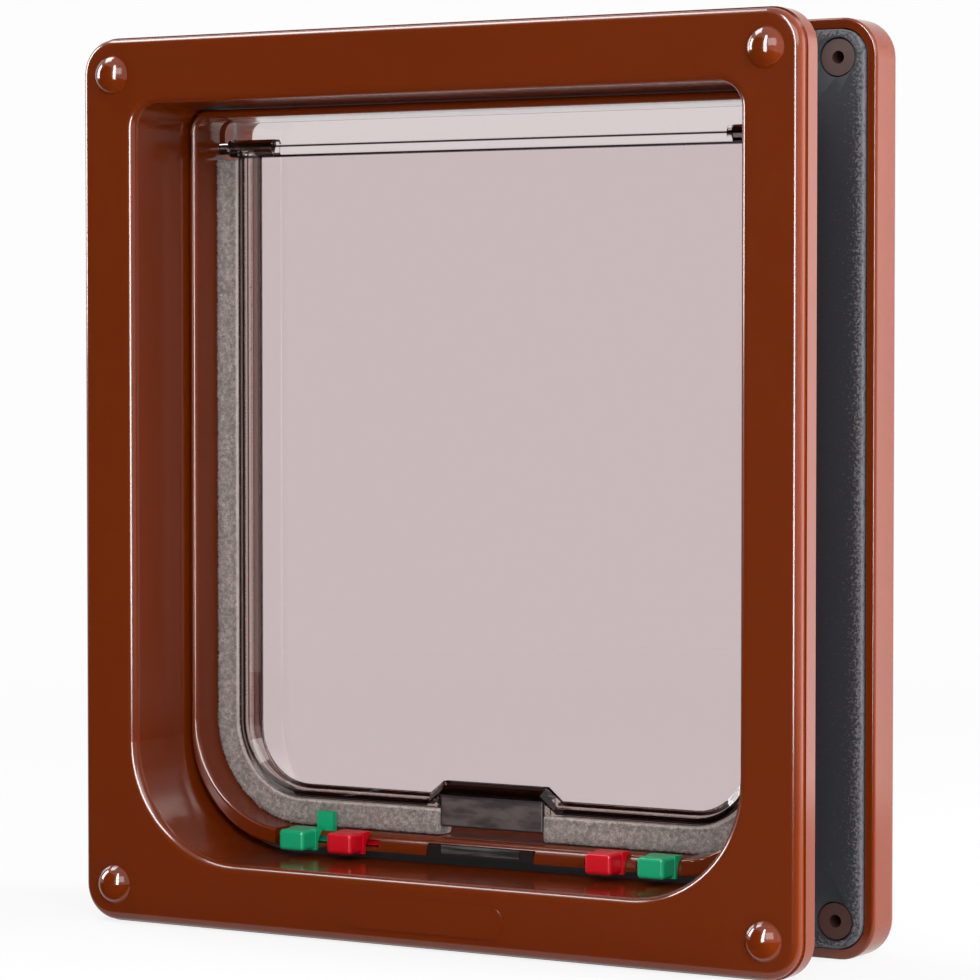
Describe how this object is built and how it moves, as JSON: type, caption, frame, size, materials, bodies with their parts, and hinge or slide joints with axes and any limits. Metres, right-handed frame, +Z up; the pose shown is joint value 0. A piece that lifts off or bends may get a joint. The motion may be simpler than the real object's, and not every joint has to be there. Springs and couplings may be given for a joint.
{
  "type": "cat flap",
  "caption": "Telescoping pet door with brown indoor and outdoor frames, a smoked swinging flap edged with pile, a magnetic threshold and sliding locks.",
  "frame": {"origin": "middle of the bottom edges of the two plates, half way between the screw caps and the outdoor face", "axes": "+Z up, +Y from indoors to outdoors through the passage, +X to the right seen from indoors"},
  "size_m": [0.198, 0.053, 0.2175],
  "materials": {
    "brown_plastic": "glossy injection-moulded brown plastic",
    "smoked_clear": "smoked clear acrylic-like sheet, polished",
    "grey_pile": "dense grey brush pile",
    "grey_foam": "dark grey closed-cell foam with a fuzzy cut edge",
    "black_plastic": "black moulded plastic",
    "magnet_metal": "dark bare bar magnet",
    "pin_steel": "drawn steel pin",
    "green_plastic": "green moulded plastic",
    "red_plastic": "red moulded plastic"
  },
  "bodies": {
    "outdoor_frame": {"outer_frame": "brown_plastic", "outer_gasket": "grey_foam", "magnet_tray": "black_plastic", "threshold_magnet": "magnet_metal", "track_plate_left": "brown_plastic", "track_plate_right": "brown_plastic"},
    "flap": {"flap_panel": "smoked_clear", "pile_strip_left": "grey_pile", "pile_strip_right": "grey_pile", "magnet_holder": "black_plastic", "flap_magnet": "magnet_metal", "hinge_pin_left": "pin_steel", "hinge_pin_right": "pin_steel"},
    "indoor_frame": {"inner_frame": "brown_plastic", "screw_cap_bottom_left": "brown_plastic", "screw_cap_bottom_right": "brown_plastic", "screw_cap_top_left": "brown_plastic", "screw_cap_top_right": "brown_plastic"},
    "green_lock_left": {"lock_slider_green_left": "green_plastic"},
    "red_lock_left": {"lock_slider_red_left": "red_plastic"},
    "red_lock_right": {"lock_slider_red_right": "red_plastic"},
    "green_lock_right": {"lock_slider_green_right": "green_plastic"}
  },
  "joints": [
    {"name": "flap_swing", "type": "hinge", "parent": "outdoor_frame", "child": "flap", "pos_m": [0, 0.0107, 0.1915], "axis": [1, 0, 0], "range_deg": [-85, 85]},
    {"name": "frame_telescope", "type": "slide", "parent": "outdoor_frame", "child": "indoor_frame", "axis": [0, 1, 0], "range_m": [-0.0055, 0.006]},
    {"name": "green_lock_left_slide", "type": "slide", "parent": "outdoor_frame", "child": "green_lock_left", "axis": [1, 0, 0], "range_m": [0, 0.0056]},
    {"name": "red_lock_left_slide", "type": "slide", "parent": "outdoor_frame", "child": "red_lock_left", "axis": [1, 0, 0], "range_m": [0, 0.0056]},
    {"name": "red_lock_right_slide", "type": "slide", "parent": "outdoor_frame", "child": "red_lock_right", "axis": [-1, 0, 0], "range_m": [0, 0.0056]},
    {"name": "green_lock_right_slide", "type": "slide", "parent": "outdoor_frame", "child": "green_lock_right", "axis": [-1, 0, 0], "range_m": [0, 0.0056]}
  ]
}
